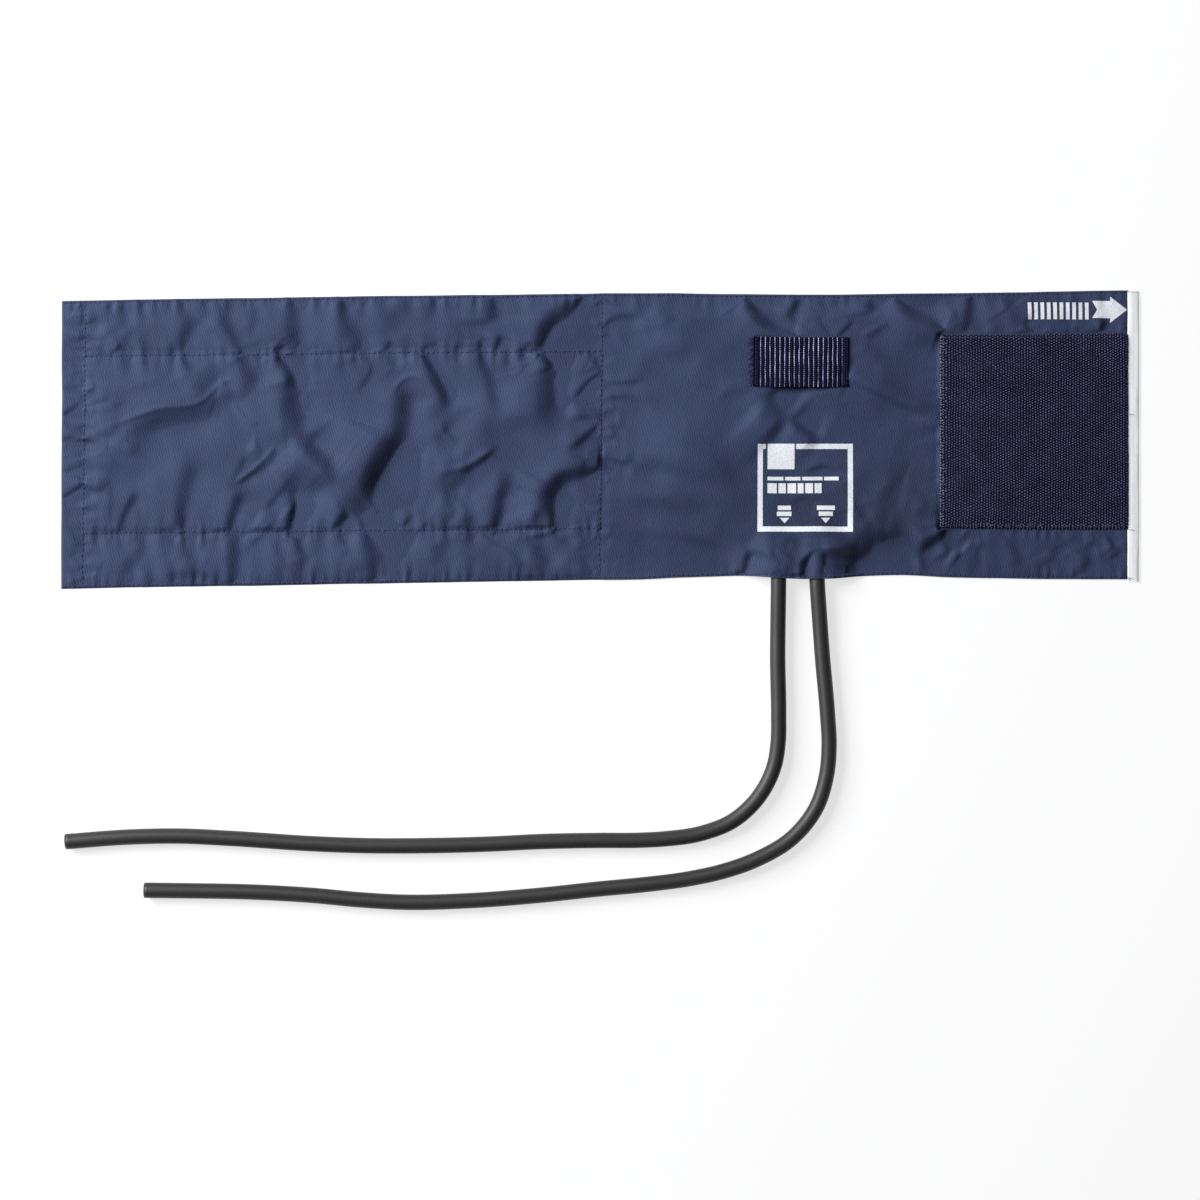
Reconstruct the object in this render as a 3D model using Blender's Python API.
"""Inflatable upper-arm cuff: a nylon pocket that holds a flat rubber bladder, a
flap that carries a loop panel on its inner face, a hook patch on the outer face
of the index end, a webbing loop for a gauge and two rubber hoses.

The cuff lies open and flat, its inner (skin) face on Z = 0. +X points to the
index end, +Z out of the outer face. The hoses leave towards -Y, then turn
towards -X. The cuff is cut into slices that hinge about lines parallel to Y on
the skin face, so that it rolls round an arm.

Lengths are in millimetres and become metres where vertices are made.
"""

import math

import bmesh
import bpy
import numpy as np

MM = 0.001

# ---------------------------------------------------------------- shared sizes
HALF_WIDTH = 72.2  # cuff centre line to either long edge
INDEX_X = 166.7  # end of the blue cloth at the index end
SEAM_X = -99.5  # seam between the bladder pocket and the flap
FLAP_X = -371.7  # free end of the flap

SPLIT = 0.2  # half of the gap between two slices
GAP = 0.3  # clearance between layers
CLOTH = 0.5  # thickness of one cloth panel

# hinge lines of the pocket, from the middle slice outwards
ROOT_HALF = 17.0  # half of the middle slice, which holds both hose outlets
RIGHT_X = [ROOT_HALF, 44.1, 71.2, 103.0, 134.9, INDEX_X]
LEFT_SLICES = 3
LEFT_PITCH = (-ROOT_HALF - SEAM_X) / LEFT_SLICES
LEFT_X = [-ROOT_HALF - k * LEFT_PITCH for k in range(LEFT_SLICES + 1)]
FLAP_SLICES = 9
FLAP_PITCH = (SEAM_X - FLAP_X) / FLAP_SLICES

# ---------------------------------------------------------------- bladder
BLADDER_X = (-91.5, 132.0)
BLADDER_HALF = 60.0  # bladder centre line to either long edge
BLADDER_FLAT = BLADDER_HALF - 3.0  # centre line to where the faces start to taper
BLADDER_THICK = 2.4
BLADDER_EDGE_DROP = 0.7  # of the top face at the long edges
BLADDER_EDGE_RISE = 0.5  # of the bottom face at the long edges
BLADDER_BOTTOM = CLOTH + GAP
BLADDER_TOP = BLADDER_BOTTOM + BLADDER_THICK

# ---------------------------------------------------------------- pocket
OUTER_TOP = BLADDER_TOP + GAP + CLOTH
EDGE_TOP = CLOTH + GAP + CLOTH  # where the two panels are sewn together
INNER_Y = [-HALF_WIDTH, 10.0, HALF_WIDTH]  # mesh rows of the inner panel

# shoulder of the filled pocket: distance from the centre line, share of full height
SHOULDER_Y = [62.0, 66.0, 70.0, HALF_WIDTH]
SHOULDER_FILL = [1.0, 0.62, 0.14, 0.0]

# mesh rows of the outer panels across the cuff
SHARED_Y = [30.0, 51.2, 62.0, 66.0, 70.0, HALF_WIDTH]
OUTER_Y = [-HALF_WIDTH, -70.0, -66.0, -62.0, -47.6, -30.0, 0.0] + SHARED_Y

# the pocket thins towards its two ends
SEAM_TAPER_X = -92.0
SEAM_FILL = 0.2  # share of full height left at the flap seam
INDEX_TAPER_X = 146.0
INDEX_FILL = 0.25  # share of full height left at the index end
POCKET_STOPS = [SEAM_TAPER_X, INDEX_TAPER_X, 156.0]  # extra mesh rows along X

# ---------------------------------------------------------------- hoses
HOSE_R = 3.9
HOSE_BORE_R = 2.0
HOSE_SIDES = 12
HOSE_Z_IN = 4.75  # hose centre inside the pocket
HOSE_Z = 4.0  # hose centre where it lies on the table
HOSE_START_Y = -60.4
SWING_Y = -74.0  # cut where a hose first bends sideways
LIFT_Y = -102.0  # cut where a hose bends upwards
DROP_START_Y, DROP_END_Y = -74.5, -98.0  # between them the hose sinks to the table
OUTLET_Y = [SWING_Y - SPLIT, -86.0, DROP_END_Y, LIFT_Y + SPLIT]
CURVE_STEPS = 6  # curve points per path point
MAX_STEP = 22.0  # a curve point is kept after a longer stretch than this
MAX_TURN = math.radians(9.0)  # or where the hose turns more than this
CLEAR_Y = 4.0  # kept points stay this far beyond the cut across Y
CLEAR_X = 6.0  # and this far from the cut across X

# centre lines as (x, y), from the outlet on
PATH_A = [
    (-10.1, -72.0), (-9.95, -90.0), (-9.85, -111.6), (-9.3, -139.9),
    (-9.7, -153.0), (-12.3, -166.1), (-20.5, -182.0), (-33.0, -193.5),
    (-49.5, -200.0), (-67.2, -202.6), (-80.0, -203.3), (-100.0, -203.4),
    (-130.3, -204.0), (-155.0, -205.2), (-185.0, -206.0), (-219.7, -206.0),
    (-245.9, -205.0), (-285.8, -202.4), (-312.1, -201.2), (-337.3, -201.7),
    (-368.9, -204.0),
]
PATH_B = [
    (9.3, -72.0), (10.5, -90.0), (12.1, -111.6), (14.6, -139.9),
    (15.4, -155.0), (14.2, -170.0), (8.6, -187.5), (-3.0, -202.0),
    (-21.7, -213.2), (-40.0, -219.5), (-54.5, -222.6), (-77.0, -225.6),
    (-100.0, -227.8), (-130.0, -231.0), (-165.0, -233.7), (-199.5, -234.5),
    (-219.7, -233.4), (-245.9, -231.0), (-272.2, -229.5), (-311.6, -228.7),
    (-329.2, -228.5),
]
# letter, centre line, X of the cut on the long run
HOSES = [("a", PATH_A, -185.0), ("b", PATH_B, -165.0)]

# ---------------------------------------------------------------- hump over the outlets
HUMP_X = -0.2
HUMP_HALF = 14.7  # half of the hump's flat width
HUMP_FULL_Y = -60.0  # full height up to here
HUMP_END_Y = -44.0
HUMP_SIDE = 0.45  # share of the hump's height at zero on its side ramps
HUMP_TOP = HOSE_Z_IN + HOSE_R + GAP + CLOTH + 0.05  # the last is spare room
ROOT_STOPS = [HUMP_X - HUMP_HALF, -4.0, 4.0, HUMP_X + HUMP_HALF]
ROOT_Y = [-HALF_WIDTH, -70.0, -66.0, HUMP_FULL_Y, -52.0, HUMP_END_Y, -30.0, 0.0] + SHARED_Y

# ---------------------------------------------------------------- hook patch, strip, webbing
HOOK_SLICES_X = RIGHT_X[2:]  # the hook patch covers the last three slices
HOOK_Y = [-47.1, 0.0, 50.6]
HOOK_THICK = 1.0

STRIP_X = [INDEX_X + GAP, 171.9]
STRIP_Y = [-73.0, 0.0, 73.4]
STRIP_BOTTOM, STRIP_TOP = 0.4, 1.4

WEBBING_Y = [24.7, 50.5]
WEBBING_THICK = 1.2
WEBBING_RISE = 0.9  # how far the middle stands clear
RISE_X = (-18.0, -12.0)
FALL_X = (15.0, 21.0)
WEBBING_X = [-22.8, *RISE_X, 0.0, *FALL_X, 25.8]

# ---------------------------------------------------------------- flap
FLAP_TOP = 2.4
FLAP_EDGE_TOP = 1.3
FLAP_CLOTH = 0.8  # two layers of cloth sewn together
FLAP_FLAT_Y = 51.0  # centre line to where the flap starts to thin
FLAP_THIN_Y = 68.0  # centre line to where it is down to its edge height
FLAP_TAPER_X = -361.0  # from here the flap thins towards its free end
FLAP_Y = [-HALF_WIDTH, -FLAP_THIN_Y, -FLAP_FLAT_Y, 0.0, FLAP_FLAT_Y, FLAP_THIN_Y, HALF_WIDTH]

LOOP_END_X = -360.0
LOOP_Y = [-47.5, 0.0, 42.0]
LOOP_THICK = 1.2

# ---------------------------------------------------------------- materials
NAVY = (0.040, 0.055, 0.130, 1.0)

# name: base colour, roughness
MATERIAL_SPECS = {
    "nylon_outer": (NAVY, 0.45),
    "nylon_inner": ((0.036, 0.048, 0.112, 1.0), 0.50),
    "nylon_flap": (NAVY, 0.45),
    "loop_pile": ((0.028, 0.036, 0.090, 1.0), 0.95),
    "hook_tape": ((0.014, 0.016, 0.032, 1.0), 0.75),
    "webbing": ((0.070, 0.064, 0.150, 1.0), 0.70),
    "strip_white": ((0.82, 0.84, 0.86, 1.0), 0.60),
    "bladder_rubber": ((0.060, 0.058, 0.055, 1.0), 0.60),
    "hose_rubber": ((0.028, 0.027, 0.026, 1.0), 0.42),
}


def make_material(name, colour, roughness):
    made = bpy.data.materials.new(name)
    made.use_nodes = True
    shader = made.node_tree.nodes["Principled BSDF"]
    shader.inputs["Base Color"].default_value = colour
    shader.inputs["Roughness"].default_value = roughness
    made.diffuse_color = colour
    return made


# ---------------------------------------------------------------- mesh helpers
def finish_mesh(name, bm, material, smooth=False):
    """Triangulate the bmesh and link it as a named object."""
    bmesh.ops.triangulate(bm, faces=bm.faces)
    bmesh.ops.recalc_face_normals(bm, faces=bm.faces)
    mesh = bpy.data.meshes.new(name)
    bm.to_mesh(mesh)
    bm.free()
    mesh.materials.append(MATERIALS[material])
    for face in mesh.polygons:
        face.use_smooth = smooth
    bpy.context.scene.collection.objects.link(bpy.data.objects.new(name, mesh))


def sheet(name, xs, ys, bottom, top, material):
    """A closed slab over the grid xs by ys, between the two height functions."""
    bm = bmesh.new()
    up, down = (
        [[bm.verts.new((x * MM, y * MM, height(x, y) * MM)) for y in ys] for x in xs]
        for height in (top, bottom)
    )
    last_i, last_j = len(xs) - 1, len(ys) - 1
    for i in range(last_i):
        for j in range(last_j):
            for grid in (up, down):
                bm.faces.new((grid[i][j], grid[i + 1][j], grid[i + 1][j + 1], grid[i][j + 1]))
    rim = (
        [(i, 0) for i in range(last_i + 1)]
        + [(last_i, j) for j in range(1, last_j + 1)]
        + [(i, last_j) for i in range(last_i - 1, -1, -1)]
        + [(0, j) for j in range(last_j - 1, 0, -1)]
    )
    for (i, j), (i2, j2) in zip(rim, rim[1:] + rim[:1]):
        bm.faces.new((up[i][j], up[i2][j2], down[i2][j2], down[i][j]))
    finish_mesh(name, bm, material)


def with_stops(low, high, stops):
    """low, high and the stops between them; the stops are in order."""
    return [low] + [stop for stop in stops if low < stop < high] + [high]


def ramp(value, start, end):
    """0 at start, 1 at end, clamped; end may be below start."""
    return min(1.0, max(0.0, (value - start) / (end - start)))


def blend(start, end, share):
    return start + (end - start) * share


def flat(z):
    """A height function that is z everywhere."""
    return lambda x, y: z


def raised(height, rise):
    """The height function moved up by rise."""
    return lambda x, y: height(x, y) + rise


# ---------------------------------------------------------------- heights
def end_fill(x):
    """1 on the pocket, less towards the index end and the flap seam."""
    index_side = blend(1.0, INDEX_FILL, ramp(x, INDEX_TAPER_X, INDEX_X - SPLIT))
    seam_side = blend(SEAM_FILL, 1.0, ramp(x, SEAM_X + SPLIT, SEAM_TAPER_X))
    return min(index_side, seam_side)


def outer_top(x, y):
    shoulder = float(np.interp(abs(y), SHOULDER_Y, SHOULDER_FILL))
    return blend(EDGE_TOP, OUTER_TOP, shoulder * end_fill(x))


def root_top(x, y):
    """The middle slice, lifted by the hoses where they leave the pocket."""
    base = outer_top(x, y)
    along = 1.0 - ramp(y, HUMP_FULL_Y, HUMP_END_Y)
    across = 1.0 - ramp(abs(x - HUMP_X), HUMP_HALF, ROOT_HALF - SPLIT)
    hump = HUMP_TOP * blend(HUMP_SIDE, 1.0, across)
    return max(base, blend(base, hump, along))


def bladder_bottom(x, y):
    return BLADDER_BOTTOM + (BLADDER_EDGE_RISE if abs(y) > BLADDER_FLAT else 0.0)


def bladder_top(x, y):
    return BLADDER_TOP - (BLADDER_EDGE_DROP if abs(y) > BLADDER_FLAT else 0.0)


def hook_bottom(x, y):
    return outer_top(x, 0.0) + GAP


def webbing_bottom(x, y):
    return OUTER_TOP + GAP + WEBBING_RISE * min(ramp(x, *RISE_X), 1.0 - ramp(x, *FALL_X))


def flap_top(x, y):
    across = 1.0 - ramp(abs(y), FLAP_FLAT_Y, FLAP_THIN_Y)
    along = 1.0 - ramp(x, FLAP_TAPER_X, FLAP_X)
    return blend(FLAP_EDGE_TOP, FLAP_TOP, across * along)


# ---------------------------------------------------------------- cloth pieces
def build_pocket_slice(tag, low, high):
    """Outer panel, inner panel and, where it reaches, the bladder of one slice."""
    x0, x1 = low + SPLIT, high - SPLIT
    if tag == "root":
        stops, ys, top = ROOT_STOPS, ROOT_Y, root_top
    else:
        stops, ys, top = POCKET_STOPS, OUTER_Y, outer_top
    xs = with_stops(x0, x1, stops)
    sheet(f"outer_panel_{tag}", xs, ys, raised(top, -CLOTH), top, "nylon_outer")
    sheet(f"inner_panel_{tag}", [x0, x1], INNER_Y, flat(0.0), flat(CLOTH), "nylon_inner")

    bladder_x = [max(x0, BLADDER_X[0]), min(x1, BLADDER_X[1])]
    if bladder_x[0] < bladder_x[1]:
        rows = [-BLADDER_HALF, -BLADDER_FLAT, 0.0, BLADDER_FLAT, BLADDER_HALF]
        sheet(f"bladder_{tag}", bladder_x, rows, bladder_bottom, bladder_top, "bladder_rubber")


def build_pocket():
    build_pocket_slice("root", -ROOT_HALF, ROOT_HALF)
    for k, (low, high) in enumerate(zip(RIGHT_X, RIGHT_X[1:]), 1):
        build_pocket_slice(f"right_{k}", low, high)
    for k, (high, low) in enumerate(zip(LEFT_X, LEFT_X[1:]), 1):
        build_pocket_slice(f"left_{k}", low, high)


def build_hook_patch():
    """Hook tape on the outer face of the index end, one piece per slice."""
    top = raised(hook_bottom, HOOK_THICK)
    for k, (low, high) in enumerate(zip(HOOK_SLICES_X, HOOK_SLICES_X[1:]), 1):
        xs = with_stops(low + SPLIT, high - SPLIT, POCKET_STOPS)
        sheet(f"hook_patch_{k}", xs, HOOK_Y, hook_bottom, top, "hook_tape")


def build_index_strip():
    """White strip sewn into the index edge."""
    bottom, top = flat(STRIP_BOTTOM), flat(STRIP_TOP)
    sheet("index_strip", STRIP_X, STRIP_Y, bottom, top, "strip_white")


def build_gauge_webbing():
    """Webbing loop: both ends are sewn down and the middle stands clear."""
    top = raised(webbing_bottom, WEBBING_THICK)
    sheet("gauge_webbing", WEBBING_X, WEBBING_Y, webbing_bottom, top, "webbing")


def build_flap():
    """Flap cover and the loop panel on its skin side, from the seam outwards."""
    bottom = raised(flap_top, -FLAP_CLOTH)
    for k in range(FLAP_SLICES):
        x0 = SEAM_X - (k + 1) * FLAP_PITCH + SPLIT
        x1 = SEAM_X - k * FLAP_PITCH - SPLIT
        xs = with_stops(x0, x1, [FLAP_TAPER_X])
        sheet(f"flap_cover_{k + 1}", xs, FLAP_Y, bottom, flap_top, "nylon_flap")
        loop_x = [max(x0, LOOP_END_X), x1]
        sheet(f"loop_panel_{k + 1}", loop_x, LOOP_Y, flat(0.0), flat(LOOP_THICK), "loop_pile")


# ---------------------------------------------------------------- hoses
def smooth_path(points):
    """Points on a uniform Catmull-Rom curve through the given ones."""
    def mirrored(end, neighbour):
        return (2 * end[0] - neighbour[0], 2 * end[1] - neighbour[1])

    padded = [mirrored(points[0], points[1]), *points, mirrored(points[-1], points[-2])]
    curve = []
    for quad in zip(padded, padded[1:], padded[2:], padded[3:]):
        for step in range(CURVE_STEPS):
            t = step / CURVE_STEPS
            curve.append(tuple(
                0.5 * (
                    2 * p1
                    + (p2 - p0) * t
                    + (2 * p0 - 5 * p1 + 4 * p2 - p3) * t * t
                    + (3 * p1 - p0 - 3 * p2 + p3) * t**3
                )
                for p0, p1, p2, p3 in zip(*quad)
            ))
    curve.append(points[-1])
    return curve


def thin_out(curve):
    """The curve with fewer points on its straight stretches."""
    kept = [curve[0]]
    for here, ahead in zip(curve[1:], curve[2:]):
        dx, dy = here[0] - kept[-1][0], here[1] - kept[-1][1]
        turn = abs(math.atan2(ahead[1] - here[1], ahead[0] - here[0]) - math.atan2(dy, dx))
        turn = min(turn, 2 * math.pi - turn)
        if math.hypot(dx, dy) > MAX_STEP or turn > MAX_TURN:
            kept.append(here)
    kept.append(curve[-1])
    return kept


def crossing(curve, axis, value):
    """The other coordinate where the curve first falls past value on the axis."""
    other = 1 - axis
    for a, b in zip(curve, curve[1:]):
        if a[axis] >= value >= b[axis]:
            return blend(a[other], b[other], (value - a[axis]) / (b[axis] - a[axis]))


def tube(name, centres):
    """A hollow hose through the centres, with an open bore at both ends."""
    bm = bmesh.new()
    rings = []
    for k, (x, y, z) in enumerate(centres):
        before = centres[max(k - 1, 0)]
        after = centres[min(k + 1, len(centres) - 1)]
        dx, dy = after[0] - before[0], after[1] - before[1]
        length = math.hypot(dx, dy)
        side_x, side_y = -dy / length, dx / length
        outer, inner = [], []
        for s in range(HOSE_SIDES):
            angle = 2 * math.pi * s / HOSE_SIDES
            for radius, ring in ((HOSE_R, outer), (HOSE_BORE_R, inner)):
                out = radius * math.cos(angle)
                rise = radius * math.sin(angle)
                place = (x + side_x * out, y + side_y * out, z + rise)
                ring.append(bm.verts.new([value * MM for value in place]))
        rings.append((outer, inner))

    sides = [(s, (s + 1) % HOSE_SIDES) for s in range(HOSE_SIDES)]
    for (outer0, inner0), (outer1, inner1) in zip(rings, rings[1:]):
        for s, t in sides:
            bm.faces.new((outer0[s], outer0[t], outer1[t], outer1[s]))
            bm.faces.new((inner0[s], inner1[s], inner1[t], inner0[t]))
    for outer, inner in (rings[0], rings[-1]):
        for s, t in sides:
            bm.faces.new((outer[s], outer[t], inner[t], inner[s]))
    finish_mesh(name, bm, "hose_rubber", smooth=True)


def build_hose(letter, path, bend_x):
    """The hose in four lengths: outlet stub, first bend, curve and long run."""
    fine = smooth_path(path)
    kept = thin_out(fine)

    def at_y(y, z):
        return (crossing(fine, 1, y), y, z)

    def at_x(x):
        return (x, crossing(fine, 0, x), HOSE_Z)

    stub = [(path[0][0], HOSE_START_Y, HOSE_Z_IN), at_y(SWING_Y + SPLIT, HOSE_Z_IN)]
    tube(f"hose_{letter}_stub", stub)

    outlet = [
        at_y(y, blend(HOSE_Z_IN, HOSE_Z, ramp(y, DROP_START_Y, DROP_END_Y))) for y in OUTLET_Y
    ]
    tube(f"hose_{letter}_outlet", outlet)

    start_y = LIFT_Y - SPLIT
    middle = [
        (x, y, HOSE_Z) for x, y in kept if y < start_y - CLEAR_Y and x > bend_x + CLEAR_X
    ]
    tube(f"hose_{letter}_curve", [at_y(start_y, HOSE_Z), *middle, at_x(bend_x + SPLIT)])

    rest = [(x, y, HOSE_Z) for x, y in kept if x < bend_x - CLEAR_X]
    tube(f"hose_{letter}_run", [at_x(bend_x - SPLIT), *rest])


# ---------------------------------------------------------------- build
for old in list(bpy.data.objects):
    bpy.data.objects.remove(old, do_unlink=True)

MATERIALS = {name: make_material(name, *spec) for name, spec in MATERIAL_SPECS.items()}

build_pocket()
build_hook_patch()
build_index_strip()
build_gauge_webbing()
build_flap()
for hose in HOSES:
    build_hose(*hose)
